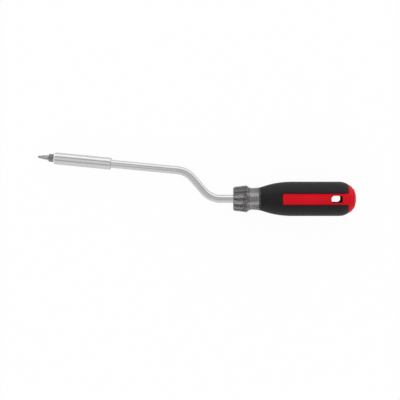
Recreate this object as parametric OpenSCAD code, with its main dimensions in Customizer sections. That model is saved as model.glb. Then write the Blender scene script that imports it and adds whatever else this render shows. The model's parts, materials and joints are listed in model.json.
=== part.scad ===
// Cranked multi-bit screwdriver: two-ended bit, free-spinning sleeve, bent shank and three-shot handle.
// Millimetres. The tool lies on a bench at z = 0; +X runs to the butt and +Y to the crank's offset side.

/* [Bit] */
// Length of the two-ended bit
bit_len = 51; // [45:0.5:64]
// Width of the bit's hexagon across its flats
bit_af = 6.35; // [5:0.05:7.7]
// How far the bit stands out of the socket
bit_reach = 15.3; // [13:0.1:20]
// Length of each turned end, from the hexagon to the tip
bit_end_len = 10.2; // [8.6:0.1:12.2]
// Diameter of the neck behind the cross point
cross_neck_d = 4.8; // [4:0.1:5.8]
// Length of the cross point's taper
cross_taper_len = 9.2; // [7.7:0.1:10]
// Diameter of the blunt end of the cross point
cross_end_d = 2; // [1.6:0.1:2.4]
// Distance from the bit's axis to the root of the cross point's flutes at the blunt end
cross_root = 0.42; // [0.35:0.01:0.5]
// Length of the cross point's flutes, up to where they run out
cross_flute_len = 7.4; // [6.2:0.1:7.8]
// Width of the flat blade
blade_w = 4.8; // [4:0.1:5.8]
// Thickness of the flat blade at its tip
blade_t = 0.9; // [0.7:0.05:1.1]
// Radius of the hollow-ground faces of the flat blade
blade_grind_r = 16; // [13:0.5:19.5]

/* [Socket] */
// Wall of the socket barrel at the corners of its hexagonal bore
socket_wall = 0.88; // [0.75:0.01:1.1]
// How far the flange at the socket's mouth stands out from the barrel
flange_lip = 0.6; // [0.5:0.05:0.75]
// Thickness of the flange at the socket's mouth
flange_t = 1.2; // [1:0.1:1.5]
// Diameter of the bit retaining ring's wire
bit_wire_d = 0.9; // [0.7:0.05:1.1]
// Length of the shank's spigot in the socket
spigot_len = 13.5; // [11:0.5:16]

/* [Sleeve] */
// Wall of the spinning sleeve
sleeve_wall = 1; // [0.85:0.05:1.3]
// How far the sleeve reaches past the socket's rear end
sleeve_overhang = 4.75; // [4:0.05:6]
// Chamfer on the sleeve's ends
sleeve_chamfer = 0.4; // [0.2:0.05:0.5]
// Radial thickness of the sleeve retaining ring
snap_t = 0.7; // [0.6:0.05:0.8]
// Axial width of the sleeve retaining ring
snap_w = 1; // [0.8:0.05:1.2]
// Depth of the socket's groove for the sleeve retaining ring
snap_groove = 0.4; // [0.3:0.05:0.5]

/* [Shank] */
// Diameter of the shank
shank_d = 7.6; // [6.4:0.05:9.15]
// Distance from the bolster's front face to the corner of the lower bend
rear_leg = 21.2; // [17.6:0.1:25.5]
// Distance between the corners of the two bends
slant_leg = 34.7; // [28.9:0.1:41.7]
// Distance from the corner of the upper bend to the socket's mouth
front_leg = 125.5; // [105:0.1:152]
// Angle of the slanted leg to the handle's axis
crank_angle = 49; // [40:1:56]
// Angle of the working end to the handle's axis
nose_angle = 5.55; // [4.5:0.05:7]
// Radius of both bends at the shank's axis
bend_r = 21; // [17.5:0.5:25]
// Depth of the shank in the handle
tang_len = 72; // [60:0.5:86]
// Length of the coined wings that key the shank to the handle
wing_len = 14; // [11:0.5:17]
// Width across the coined wings
wing_span = 12.4; // [10.5:0.1:14]
// Thickness of the coined wings
wing_t = 2.6; // [2.1:0.1:3.2]

/* [Handle] */
// Length of the handle
handle_len = 115.6; // [97:0.1:140]
// Smallest diameter of the neck
neck_d = 20.6; // [17:0.1:24.8]
// How far the bolster's crest stands out from the neck
bolster_lip = 2.4; // [2:0.05:2.9]
// Rise of the bolster's flank from its front corner to its crest
bolster_rise = 1.2; // [0.9:0.05:1.5]
// Rounding of the bolster's front corner
bolster_round = 2.2; // [1.8:0.1:2.7]
// Distance from the front face to the bolster's crest
bolster_len = 12; // [10:0.1:14]
// Number of flutes round the bolster
flute_count = 12; // [8:1:14]
// Depth of a flute
flute_depth = 0.9; // [0.6:0.05:1.1]
// Radius of a flute's hollow
flute_r = 2.4; // [2:0.1:2.9]
// Radius of the neck's long hollow
neck_r = 44; // [36:1:53]
// Distance from the bolster's front face to the front edge of the grip
grip_start = 24.8; // [23.5:0.1:30]
// Distance from the bolster's front face to where the grip is fullest
grip_full = 55.5; // [48:0.5:67]
// Diameter of the grip at its fullest
grip_d = 32.4; // [28.4:0.1:39]
// Thickness of the soft grip
grip_t = 2.4; // [2:0.1:2.9]
// Thickness of the soft grip's front edge at the corners of the core's hexagonal tang
grip_lip = 1.3; // [1:0.05:1.6]
// Distance from the bolster's front face to the front end of the body inside the grip
body_start = 36; // [32:0.5:44]
// Length of the grip's rounded rear end
grip_end_len = 8.2; // [6.8:0.1:9.8]
// Distance from the grip's rear edge to the end of the butt
butt_len = 7.5; // [6.3:0.1:9]
// Diameter of the flat at the end of the butt
butt_flat_d = 8; // [6.7:0.1:9.6]
// Radius of the butt's shallow end round that flat
butt_end_r = 20; // [17:0.5:24]
// Diameter of the butt's shallow end
butt_end_d = 19.2; // [16.4:0.1:22]
// Radius of the groove round the butt's shallow end
butt_groove_r = 0.8; // [0.65:0.05:0.95]
// How far the panels and the butt lie below the grip's surface
panel_step = 1; // [0.8:0.05:1.2]
// Width of the panels
panel_w = 11.1; // [9.2:0.1:13.4]
// Distance from the bolster's front face to the front end of the panels
panel_start = 46.1; // [40:0.1:55]
// Rounding of the panels' front corners
panel_round = 1.5; // [1:0.1:2.5]
// Distance from the centre of the lanyard hole to the end of the butt
hole_from_butt = 18.7; // [16:0.1:22.4]
// Length of the lanyard hole along the handle
hole_len = 11; // [9.2:0.1:13.2]
// Width of the lanyard hole
hole_w = 7.1; // [6:0.1:8.5]

/* [Hidden] */
$fn = 72;

// Clearance of the bit in its socket, per flat
bit_clear = 0.05;
// Radial clearance of the sleeve on the socket
spin_clear = 0.05;
// Clearance of the rings in their grooves
ring_clear = 0.05;
// End play of the sleeve
end_play = 0.1;
// Overlap that makes a cut run past a face
past = 1;

// Socket and sleeve, along the working axis: 0 at the socket's mouth, negative towards the shank
hex_d = (bit_af + 2 * bit_clear) / cos(30);
bit_d = bit_af / cos(30);
socket_d = hex_d + 2 * socket_wall;
flange_d = socket_d + 2 * flange_lip;
sleeve_d = socket_d + 2 * (spin_clear + sleeve_wall);
bit_depth = bit_len - bit_reach;
spigot_end = -bit_depth;
socket_end = spigot_end - spigot_len;
wire_ring_r = bit_af / 2 + bit_wire_d / 2;
wire_z = bit_reach - bit_len / 2;
ring_gap = 40;
sleeve_front = -flange_t - end_play;
sleeve_rear = socket_end - sleeve_overhang;
sleeve_bore_r = socket_d / 2 + spin_clear;
snap_in_r = socket_d / 2 - snap_groove;
snap_out_r = snap_in_r + snap_t;
snap_land = 1.2;
snap_rear = socket_end + snap_land;
snap_front = snap_rear + snap_w;
counterbore_clear = 0.2;
counterbore_r = snap_out_r + counterbore_clear;
mouth_chamfer = 0.5;

// Bit, along its own axis: 0 at its middle, positive towards the cross point
hex_half = bit_len / 2 - bit_end_len;
hex_chamfer = 30;
blade_neck_d = 5.2;
blade_neck_len = 1.5;
cross_point_len = 0.9;
cross_point_d = 1.1;
flute_slope = 6;
run_out_gap = 0.5;
notch_r = bit_wire_d / 2 + ring_clear;

// Crank, in the plane of the handle's axis
slant_dir = [-cos(crank_angle), sin(crank_angle)];
nose_dir = [-cos(nose_angle), sin(nose_angle)];
lower_corner = [-rear_leg, 0];
upper_corner = lower_corner + slant_leg * slant_dir;
mouth = upper_corner + front_leg * nose_dir;
lower_run = bend_r * tan(crank_angle / 2);
upper_turn = crank_angle - nose_angle;
upper_run = bend_r * tan(upper_turn / 2);
// The rod draws in a little where it is bent, and its straight legs lap into the bends
bend_thinning = 0.02;
bend_d = shank_d - bend_thinning;
bend_lap = 0.3;
wing_rest = 6;
wing_from = tang_len - wing_len - wing_rest;

// Handle profile
bolster_d = neck_d + 2 * bolster_lip;
bolster_face_d = bolster_d - 2 * (bolster_rise + bolster_round);
flank_slope = atan(bolster_rise / (bolster_len - bolster_round));
crest_r = 1.6;
back_slope = 45;
foot_r = 5.5;
profile_steps = 16;
arc_steps = 6;
lead_in = 0.6;
lead_in_power = 8;
core_rest = 10;
core_end = handle_len - core_rest;
butt_r = grip_d / 2 - panel_step;
butt_end_x = handle_len - sqrt(pow(butt_end_r, 2) - pow(butt_flat_d / 2, 2));
butt_edge_x = butt_end_x + sqrt(pow(butt_end_r, 2) - pow(butt_end_d / 2, 2));
dome_x = butt_edge_x - sqrt(pow(butt_r, 2) - pow(butt_end_d / 2, 2));
groove_ring_r = butt_end_d / 2 + butt_groove_r;
groove_x = dome_x + sqrt(pow(butt_r, 2) - pow(groove_ring_r, 2));
grip_end = handle_len - butt_len;
grip_turn = grip_end - grip_end_len;
grip_edge_r = sqrt(pow(butt_r, 2) - pow(grip_end - dome_x, 2));
grip_drop = grip_d / 2 - grip_edge_r;
grip_end_r = (pow(grip_end_len, 2) + pow(grip_drop, 2)) / (2 * grip_drop);
hole_x = handle_len - hole_from_butt;

// Points of an arc that starts at p with slope a0 and bends to slope a1; points are [along, radius]
function arc(p, r, a0, a1) =
    let (s = a1 > a0 ? 1 : -1)
    [for (i = [1:arc_steps])
        let (a = a0 + (a1 - a0) * i / arc_steps)
        p + s * r * [sin(a) - sin(a0), cos(a0) - cos(a)]];

function last(list) = list[len(list) - 1];

// Radius points to a profile that turns about Y
function turned(points) = [for (p = points) [p.y, p.x]];

// Rise of the grip from its front edge, 0, to its fullest, 1
function swell(t) = t * (2 - t) * (1 - lead_in * pow(1 - t, lead_in_power));

// Radius of the grip's surface
neck_lift = neck_r - sqrt(pow(neck_r, 2) - pow(grip_start - neck_x(), 2));
grip_edge_front_r = neck_d / 2 + neck_lift;
core_d = 2 * (grip_edge_front_r - grip_lip);
grip_rise = grip_d / 2 - grip_edge_front_r;

function grip_radius(x) =
    x < grip_full
        ? grip_edge_front_r + grip_rise * swell((x - grip_start) / (grip_full - grip_start))
        : x < grip_turn
            ? grip_d / 2
            : grip_d / 2 - grip_end_r + sqrt(pow(grip_end_r, 2) - pow(x - grip_turn, 2));

// Stations along the grip from x0 to its rear edge
function grip_stations(x0) = concat(
    [for (i = [0:profile_steps]) x0 + (grip_full - x0) * i / profile_steps],
    [for (i = [0:profile_steps]) grip_turn + grip_end_len * i / profile_steps]
);

// Back of the bolster: crest, slope, foot and the hollow neck
function crest_start() = [bolster_len, bolster_d / 2];
function crest() = arc(crest_start(), crest_r, flank_slope, -back_slope);
function slope_drop() = last(crest()).y - neck_d / 2 - foot_r * (1 - cos(back_slope));
function foot_start() = last(crest()) + slope_drop() * [1 / tan(back_slope), -1];
function foot() = arc(foot_start(), foot_r, -back_slope, 0);
function neck_x() = last(foot()).x;
function neck() = arc(last(foot()), neck_r, 0, asin((grip_start - neck_x()) / neck_r));

// Pose on the bench: the sleeve's front rim and the grip just ahead of the panels both touch it
grip_touch = grip_radius(panel_start);
nose_pitch = atan((grip_touch - sleeve_d / 2) / (panel_start - mouth.x));
axis_height = sleeve_d / 2 * cos(nose_pitch) - mouth.x * sin(nose_pitch);
tip_x = mouth.x + bit_reach * nose_dir.x;
middle_x = (tip_x + handle_len) / 2 * cos(nose_pitch);
middle_y = (mouth.y + sleeve_d / 2 - grip_d / 2) / 2;

// Places its child, drawn along +Z, along the handle from the bolster's front face to the butt
module along_handle() {
    rotate([0, 90, 0]) children();
}

// Places its child, drawn along +Z, on the working axis with 0 at the socket's mouth
module along_nose() {
    translate([mouth.x, mouth.y, 0])
        rotate([0, 0, 180 - nose_angle])
            rotate([0, 90, 0]) children();
}

// Lays the tool on the bench with the origin under the middle of its box
module lay() {
    translate([-middle_x, -middle_y, axis_height])
        rotate([0, -nose_pitch, 0]) children();
}

// Straight rod between two stations on the Z axis
module rod(d, from, to) {
    translate([0, 0, from]) cylinder(d = d, h = to - from);
}

// Hexagonal rod between two stations on the Z axis, with its corners in the plane of the crank
module hex_rod(d, from, to) {
    translate([0, 0, from])
        rotate([0, 0, 30]) cylinder(d = d, h = to - from, $fn = 6);
}

// Open ring about the Z axis with its gap on +X
module open_ring() {
    rotate([0, 0, ring_gap / 2])
        rotate_extrude(angle = 360 - ring_gap) children();
}

// Hexagon with both ends turned down to the necks
module bit_blank() {
    chamfer_len = (bit_d / 2 - cross_neck_d / 2) * tan(hex_chamfer);
    blade_chamfer = (bit_d / 2 - blade_neck_d / 2) * tan(hex_chamfer);
    taper_end = bit_len / 2 - cross_point_len;
    intersection() {
        union() {
            hex_rod(bit_d, -hex_half, hex_half);
            rod(blade_neck_d, -bit_len / 2, 0);
            rod(cross_neck_d, 0, bit_len / 2);
        }
        rotate_extrude()
            polygon([
                [0, -bit_len / 2],
                [blade_neck_d / 2, -bit_len / 2],
                [blade_neck_d / 2, -hex_half],
                [bit_d / 2 + past, -hex_half + blade_chamfer + past * tan(hex_chamfer)],
                [bit_d / 2 + past, hex_half - chamfer_len - past * tan(hex_chamfer)],
                [cross_neck_d / 2, hex_half],
                [cross_neck_d / 2, bit_len / 2 - cross_taper_len],
                [cross_end_d / 2, taper_end],
                [cross_point_d / 2, bit_len / 2],
                [0, bit_len / 2]
            ]);
    }
}

// Right-angled groove between two stations on a line that climbs from the bit's axis towards the hexagon
module sloped_groove(root, at, slope, from, to) {
    translate([root, 0, at])
        rotate([0, -slope, 0])
            translate([0, 0, from])
                rotate([0, 0, -45]) cube([cross_neck_d, cross_neck_d, to - from]);
}

// One flute of the cross point: a long shallow groove that runs out in front of the hexagon
module cross_flute() {
    run_out_at = bit_len / 2 - cross_flute_len;
    run_out_root = cross_root + cross_flute_len * tan(flute_slope);
    run_out_len = bit_end_len - cross_flute_len;
    run_out_slope = atan((cross_neck_d / 2 - run_out_root) / (run_out_len - run_out_gap));
    sloped_groove(cross_root, bit_len / 2, flute_slope, -cross_flute_len / cos(flute_slope), cross_neck_d);
    sloped_groove(run_out_root, run_out_at, run_out_slope, -run_out_len / cos(run_out_slope), 0);
}

// The two hollow-ground faces and the two edges that shape the flat blade
module blade_cuts() {
    for (side = [-1, 1]) {
        translate([0, side * (blade_grind_r + blade_t / 2), -bit_len / 2])
            rotate([0, 90, 0]) cylinder(r = blade_grind_r, h = 2 * bit_d, center = true);
        translate([side * (blade_w / 2 + bit_d / 2), 0, -bit_len / 2])
            cube([bit_d, bit_d, 2 * (bit_end_len - blade_neck_len)], center = true);
    }
}

module screwdriver_bit() {
    color("dimgray")
        along_nose()
            translate([0, 0, bit_reach - bit_len / 2])
                difference() {
                    bit_blank();
                    for (k = [0:3]) {
                        rotate([0, 0, 90 * k]) cross_flute();
                    }
                    blade_cuts();
                    rotate_extrude() translate([wire_ring_r, 0]) circle(r = notch_r);
                }
}

module bit_socket() {
    color("silver")
        along_nose()
            difference() {
                union() {
                    rod(socket_d, socket_end, 0);
                    rod(flange_d, -flange_t, -flange_t / 2);
                    translate([0, 0, -flange_t / 2])
                        cylinder(d1 = flange_d, d2 = flange_d - flange_t, h = flange_t / 2);
                }
                hex_rod(hex_d, socket_end - past, past);
                translate([0, 0, -mouth_chamfer])
                    cylinder(
                        d1 = hex_d - mouth_chamfer,
                        d2 = hex_d + mouth_chamfer + 2 * past,
                        h = mouth_chamfer + past
                    );
                translate([0, 0, wire_z])
                    rotate_extrude() translate([wire_ring_r, 0]) circle(r = notch_r);
                translate([0, 0, snap_rear - ring_clear])
                    difference() {
                        cylinder(d = socket_d + past, h = snap_w + 2 * ring_clear);
                        translate([0, 0, -past]) cylinder(r = snap_in_r, h = snap_w + 2 * past);
                    }
            }
}

module bit_retaining_ring() {
    color("lightslategray")
        along_nose()
            translate([0, 0, wire_z])
                open_ring() translate([wire_ring_r, 0]) circle(d = bit_wire_d);
}

module spinning_sleeve() {
    step_z = snap_front + end_play;
    color("gainsboro")
        along_nose()
            rotate_extrude()
                polygon([
                    [sleeve_bore_r, sleeve_front],
                    [sleeve_d / 2 - sleeve_chamfer, sleeve_front],
                    [sleeve_d / 2, sleeve_front - sleeve_chamfer],
                    [sleeve_d / 2, sleeve_rear + sleeve_chamfer],
                    [sleeve_d / 2 - sleeve_chamfer, sleeve_rear],
                    [counterbore_r, sleeve_rear],
                    [counterbore_r, step_z],
                    [sleeve_bore_r, step_z]
                ]);
}

module sleeve_retaining_ring() {
    color("darkgray")
        along_nose()
            open_ring() translate([snap_in_r, snap_rear]) square([snap_t, snap_w]);
}

// One bend of the shank, swept about a centre beside it
module elbow(centre, from, turn) {
    translate([centre.x, centre.y, 0])
        rotate([0, 0, from])
            rotate_extrude(angle = turn) translate([bend_r, 0]) circle(d = bend_d);
}

// Coined wings that key the shank to the handle
module wings() {
    translate([wing_from, -wing_span / 2, -wing_t / 2]) cube([wing_len, wing_span, wing_t]);
}

module shank() {
    slant_from = lower_corner + lower_run * slant_dir;
    slant_to = upper_corner - upper_run * slant_dir;
    slant_len = slant_leg - lower_run - upper_run;
    color("lightgray") {
        along_handle() rod(shank_d, lower_run - rear_leg - bend_lap, tang_len);
        wings();
        elbow([lower_run - rear_leg, bend_r], -90 - crank_angle, crank_angle);
        translate([slant_from.x, slant_from.y, 0])
            rotate([0, 0, 180 - crank_angle])
                rotate([0, 90, 0]) rod(shank_d, -bend_lap, slant_len + bend_lap);
        elbow(slant_to + bend_r * [-slant_dir.y, slant_dir.x], 90 - crank_angle, upper_turn);
        along_nose() {
            rod(shank_d, upper_run - front_leg - bend_lap, socket_end);
            hex_rod(hex_d, socket_end - past, spigot_end);
        }
    }
}

// Outline of the panels in plan, open towards the butt
module panel_outline() {
    half = panel_w / 2;
    translate([panel_start + panel_round, -half]) square([handle_len - panel_start, panel_w]);
    translate([panel_start, -half + panel_round]) square([2 * panel_round, panel_w - 2 * panel_round]);
    for (side = [-1, 1]) {
        translate([panel_start + panel_round, side * (half - panel_round)]) circle(r = panel_round);
    }
}

// Both panels' outline carried right through the handle
module panel_prism() {
    linear_extrude(height = 2 * grip_d, center = true) panel_outline();
}

// Obround lanyard hole carried right through the handle
module lanyard_hole() {
    reach = (hole_len - hole_w) / 2;
    linear_extrude(height = 2 * grip_d, center = true) {
        translate([hole_x - reach, -hole_w / 2]) square([2 * reach, hole_w]);
        for (side = [-1, 1]) {
            translate([hole_x + side * reach, 0]) circle(d = hole_w);
        }
    }
}

// Bolster and neck, turned, before the flutes are cut
module bolster() {
    face_r = bolster_face_d / 2;
    nose = concat([[0, face_r]], arc([0, face_r], bolster_round, 90, 0));
    back = concat([crest_start()], crest(), [foot_start()], foot(), neck());
    rotate_extrude() polygon(turned(concat([[0, 0]], nose, back, [[grip_start, 0]])));
}

// Hollows along the bolster's flank
module flutes() {
    for (k = [0:flute_count - 1]) {
        rotate([0, 0, 360 / flute_count * k])
            translate([bolster_d / 2 + flute_r - flute_depth, 0, bolster_len])
                rotate([0, flank_slope, 0])
                    cylinder(r = flute_r, h = 3 * bolster_len, center = true);
    }
}

module handle_core() {
    color("gray")
        difference() {
            along_handle() {
                difference() {
                    bolster();
                    flutes();
                }
                hex_rod(core_d, grip_start - past, core_end);
            }
            along_handle() rod(shank_d, -past, tang_len);
            wings();
            lanyard_hole();
        }
}

// Body under the grip, parallel to the grip's surface
module body_under_grip() {
    stations = grip_stations(body_start);
    skin = [for (x = stations) [x, grip_radius(x) - grip_t]];
    rotate_extrude() polygon(turned(concat([[body_start, 0]], skin, [[grip_end, 0]])));
}

// Round surface that the panels and the butt share, down to the groove and the shallow end
module red_round() {
    rod(2 * butt_r, panel_start, dome_x);
    difference() {
        intersection() {
            translate([0, 0, dome_x]) sphere(r = butt_r);
            translate([0, 0, butt_end_x]) sphere(r = butt_end_r);
            rod(2 * butt_r, dome_x, handle_len);
        }
        translate([0, 0, groove_x])
            rotate_extrude() translate([groove_ring_r, 0]) circle(r = butt_groove_r);
    }
}

module handle_body() {
    color("crimson")
        difference() {
            union() {
                along_handle() body_under_grip();
                intersection() {
                    along_handle() red_round();
                    union() {
                        panel_prism();
                        along_handle() rod(grip_d, grip_end, handle_len);
                    }
                }
            }
            along_handle() hex_rod(core_d, grip_start, core_end);
            lanyard_hole();
        }
}

module soft_grip() {
    skin = [for (x = grip_stations(grip_start)) [x, grip_radius(x)]];
    color("black")
        difference() {
            along_handle()
                difference() {
                    rotate_extrude()
                        polygon(turned(concat([[grip_start, 0]], skin, [[grip_end, 0]])));
                    body_under_grip();
                    hex_rod(core_d, grip_start - past, core_end + past);
                }
            panel_prism();
        }
}

lay() screwdriver_bit();
lay() bit_socket();
lay() bit_retaining_ring();
lay() spinning_sleeve();
lay() sleeve_retaining_ring();
lay() shank();
lay() handle_core();
lay() handle_body();
lay() soft_grip();
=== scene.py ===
import json
import math
import bmesh
import bpy
from mathutils import Matrix, Vector


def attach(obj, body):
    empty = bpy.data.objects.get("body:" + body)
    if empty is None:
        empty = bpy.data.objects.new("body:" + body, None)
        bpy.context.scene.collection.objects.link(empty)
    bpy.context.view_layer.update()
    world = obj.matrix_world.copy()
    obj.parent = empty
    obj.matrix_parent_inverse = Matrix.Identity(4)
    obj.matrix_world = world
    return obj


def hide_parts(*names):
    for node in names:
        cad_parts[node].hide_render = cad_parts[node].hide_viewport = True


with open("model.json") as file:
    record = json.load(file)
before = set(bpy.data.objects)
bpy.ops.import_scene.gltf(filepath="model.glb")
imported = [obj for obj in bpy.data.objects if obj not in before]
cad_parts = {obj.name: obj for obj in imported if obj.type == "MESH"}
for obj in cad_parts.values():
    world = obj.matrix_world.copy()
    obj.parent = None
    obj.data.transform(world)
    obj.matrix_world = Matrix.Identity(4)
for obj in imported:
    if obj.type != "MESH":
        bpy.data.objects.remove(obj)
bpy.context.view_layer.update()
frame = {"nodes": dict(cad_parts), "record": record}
scene = bpy.context.scene
mounts = {m["name"]: m for m in frame["record"]["mounts"]}
print("frame loaded:", len(frame["nodes"]), "nodes")

mm = 0.001  # shapes are in millimetres until they are placed
hair = 1e-6  # sizes closer than this count as equal
mergeWithin, slimmest = 1e-4, 1e-5  # for cleaning a mesh


def placed(origin, along):  # turns a piece's own x to a mount's axis
    x = Vector(along).normalized()
    z = x.cross(Vector((0, 1, 0))).normalized()
    m = Matrix((x, z.cross(x), z)).transposed().to_4x4()
    m.translation = Vector(origin)
    return m @ Matrix.Scale(mm, 4)


handleLength = 115.6
buttAxis = Vector(mounts["butt_face"]["axis"]).normalized()
handlePlace = placed(Vector(mounts["butt_face"]["pos_m"]) - buttAxis * handleLength * mm, buttAxis)
nosePlace = placed(mounts["bit_socket_hex"]["pos_m"], mounts["bit_socket_hex"]["axis"])


# helpers for the shapes
def eased(v, low, high):  # 0 up to low, 1 from high on, smooth between them
    t = min(1.0, max(0.0, (v - low) / (high - low)))
    return t * t * (3 - 2 * t)


def spread(a, b, n):  # n steps from a to b, both ends in
    return [a + (b - a) * i / n for i in range(n + 1)]


def arcFrom(start, radius, slopeA, slopeB, steps):  # [along, radius] points from one slope to another
    a = math.radians(slopeA)
    r = math.copysign(radius, slopeB - slopeA)
    x, y = start[0] - r * math.sin(a), start[1] + r * math.cos(a)
    return [(x + r * math.sin(b), y - r * math.cos(b)) for b in spread(a, math.radians(slopeB), steps)[1:]]


def rolled(depth, d):  # drop of a rounded edge at distance d from the edge
    return depth - math.sqrt(max(0.0, depth * depth - (depth - d) ** 2)) if d < depth else 0.0


def meshOf(name, verts, faces, edges=()):
    mesh = bpy.data.meshes.new(name)
    mesh.from_pydata(verts, edges, faces)
    return mesh


def spun(name, profile, count):  # a closed line of [along, radius] points turned about x
    turns = [2 * math.pi * k / count for k in range(count)]
    verts = [(x, r * math.cos(a), r * math.sin(a)) for x, r in profile for a in turns]
    faces = []
    for i in range(len(profile)):
        here, after = i * count, (i + 1) % len(profile) * count
        for k in range(count):
            n = (k + 1) % count
            faces.append((here + k, here + n, after + n, after + k))
    return meshOf(name, verts, faces)


def tidied(mesh):  # merged, no loose points, faces outwards
    bm = bmesh.new()
    bm.from_mesh(mesh)
    bmesh.ops.remove_doubles(bm, verts=bm.verts, dist=mergeWithin)
    bmesh.ops.dissolve_degenerate(bm, edges=bm.edges, dist=slimmest)
    bmesh.ops.delete(bm, geom=[v for v in bm.verts if not v.link_faces], context="VERTS")
    bmesh.ops.recalc_face_normals(bm, faces=bm.faces)
    bm.to_mesh(mesh)
    bm.free()
    return mesh


def keepValues(mesh, name, values):  # a value on each point, for a finish to read
    mesh.attributes.new(name, "FLOAT", "POINT").data.foreach_set("value", values)


def finished(name, mesh, place, materials, body, node, sharp):
    mesh.transform(place)
    picks = [min(p.material_index, len(materials) - 1) for p in mesh.polygons]
    mesh.materials.clear()
    for material in materials:
        mesh.materials.append(material)
    mesh.polygons.foreach_set("material_index", picks)
    mesh.polygons.foreach_set("use_smooth", [True] * len(mesh.polygons))
    mesh.set_sharp_from_angle(angle=math.radians(sharp))
    obj = bpy.data.objects.new(name, mesh)
    scene.collection.objects.link(obj)
    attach(obj, body)
    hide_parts(node)
    print("made", name, len(mesh.polygons), "faces")


# helpers for the nodes
def nodeIn(tree, kind, **values):
    n = tree.nodes.new(kind)
    for key, value in values.items():
        setattr(n, key, value)
    return n


def feed(tree, socket, value):  # a link or a plain value
    if isinstance(value, bpy.types.NodeSocket):
        tree.links.new(value, socket)
    else:
        socket.default_value = value


def wired(tree, kind, inputs, **values):  # a node with its inputs fed, by name or number
    n = nodeIn(tree, kind, **values)
    for key, value in inputs.items():
        feed(tree, n.inputs[key], value)
    return n


def calc(tree, operation, *inputs):
    return wired(tree, "ShaderNodeMath", dict(enumerate(inputs)), operation=operation).outputs[0]


def ranged(tree, value, fromLow, fromHigh, toLow, toHigh):
    return wired(tree, "ShaderNodeMapRange", {
        "Value": value, "From Min": fromLow, "From Max": fromHigh, "To Min": toLow, "To Max": toHigh,
    }).outputs["Result"]


def ramped(tree, value, stops):  # a colour by a value, from [position, colour] stops
    ramp = wired(tree, "ShaderNodeValToRGB", {"Fac": value})
    elements = ramp.color_ramp.elements
    while len(elements) < len(stops):
        elements.new(0.5)
    for e, (position, colour) in zip(elements, stops):
        e.position = position
        e.color = (*colour, 1)
    return ramp.outputs["Color"]


# finishes: colour in soft clouds, roughness from a grain, fine dents, and plain values for the shader
noiseLow, noiseHigh = 0.3, 0.7  # nearly all of a noise lies between these
noiseRough = 0.55


def objectSpace(tree):
    return nodeIn(tree, "ShaderNodeTexCoord").outputs["Object"]


def attributeIn(tree, name):
    return nodeIn(tree, "ShaderNodeAttribute", attribute_name=name).outputs["Fac"]


def drawnSpace(tree, alongScale, aroundScale):  # for metal drawn along a piece or turned round it
    along = calc(tree, "MULTIPLY", attributeIn(tree, "along"), alongScale)
    around = calc(tree, "MULTIPLY", attributeIn(tree, "around"), aroundScale)
    return wired(tree, "ShaderNodeCombineXYZ", {"X": along, "Y": around}).outputs["Vector"]


def noiseAt(tree, space, scale, detail):
    return wired(tree, "ShaderNodeTexNoise", {
        "Vector": space, "Scale": scale, "Detail": detail, "Roughness": noiseRough,
    }).outputs["Fac"]


def clouded(tree, spec):  # a piece's two colours; clouds holds scale, detail and where each colour is reached
    scale, detail, low, high = spec["clouds"]
    cloud = noiseAt(tree, objectSpace(tree), scale, detail)
    return ramped(tree, cloud, [(low, spec["colour"]), (high, spec["colourLight"])])


def mixedIn(tree, colour, share, other):  # sockets by number, since each name is there once for every kind
    return wired(tree, "ShaderNodeMix", {0: share, 6: colour, 7: (*other, 1)}, data_type="RGBA").outputs[2]


def finishOf(name, spec, colourBy=clouded):  # grain is scale, detail; dents add strength and depth in metres
    mat = bpy.data.materials.new(name)
    mat.use_nodes = True
    tree = mat.node_tree
    shader = next(n for n in tree.nodes if n.type == "BSDF_PRINCIPLED")
    space = drawnSpace(tree, *spec["drawn"]) if "drawn" in spec else objectSpace(tree)
    grain = noiseAt(tree, space, *spec["grain"])
    feed(tree, shader.inputs["Base Color"], colourBy(tree, spec))
    feed(tree, shader.inputs["Roughness"], ranged(tree, grain, noiseLow, noiseHigh, *spec["rough"]))
    if "dents" in spec:
        scale, detail, strength, depth = spec["dents"]
        height = noiseAt(tree, space, scale, detail)
        bump = wired(tree, "ShaderNodeBump", {"Height": height, "Strength": strength, "Distance": depth})
        feed(tree, shader.inputs["Normal"], bump.outputs["Normal"])
    for key, value in spec["plain"].items():
        shader.inputs[key].default_value = value
    return mat


# studio: camera over the tool's own plane, pale bench, soft tent
studio = dict(aim=(-31.2, -1.1, 0.0), distance=1571.5, lean=2.3, lens=150.0, sensor=36.0, clip=(0.05, 50.0),
              floorSize=6.0, floorColour=(0.95, 0.95, 0.95, 1), floorWhite=0.95, floorShown=0.1,
              lampPlace=(0.0, 0.25, 2.2), lampSize=(2.4, 1.5), lampWatts=11.2,
              tent=[(-140, 1.05), (-90, 0.9), (-54, 0.9), (-43, 0.82), (-38, 0.44), (-29, 0.44),
                    (-23, 0.74), (-8, 0.86), (14, 0.92), (25, 0.8), (30, 0.44), (38, 0.44),
                    (46, 0.92), (56, 1.12), (70, 1.48), (88, 1.52), (110, 1.45), (140, 1.2)],
              slotAlong=(-0.07, -0.04), slotAcross=(0.2, 0.45), slotDim=0.36)


def makeCamera():
    lean = math.radians(studio["lean"])
    back = Vector((0, math.sin(lean), math.cos(lean)))
    turn = handlePlace.to_3x3().normalized()
    zAxis = (turn @ back).normalized()
    xAxis = (turn @ Vector((0, 1, 0))).cross(zAxis).normalized()
    m = Matrix((xAxis, zAxis.cross(xAxis), zAxis)).transposed().to_4x4()
    # aim and distance are in the handle's own millimetres, the rest of the studio in metres
    m.translation = handlePlace @ (Vector(studio["aim"]) + back * studio["distance"])
    data = bpy.data.cameras.new("overheadCamera")
    data.lens = studio["lens"]
    data.sensor_width = studio["sensor"]
    data.clip_start, data.clip_end = studio["clip"]
    cam = bpy.data.objects.new("overheadCamera", data)
    cam.matrix_world = m
    scene.collection.objects.link(cam)
    scene.camera = cam
    print("camera at", [round(v, 3) for v in m.translation])


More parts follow.
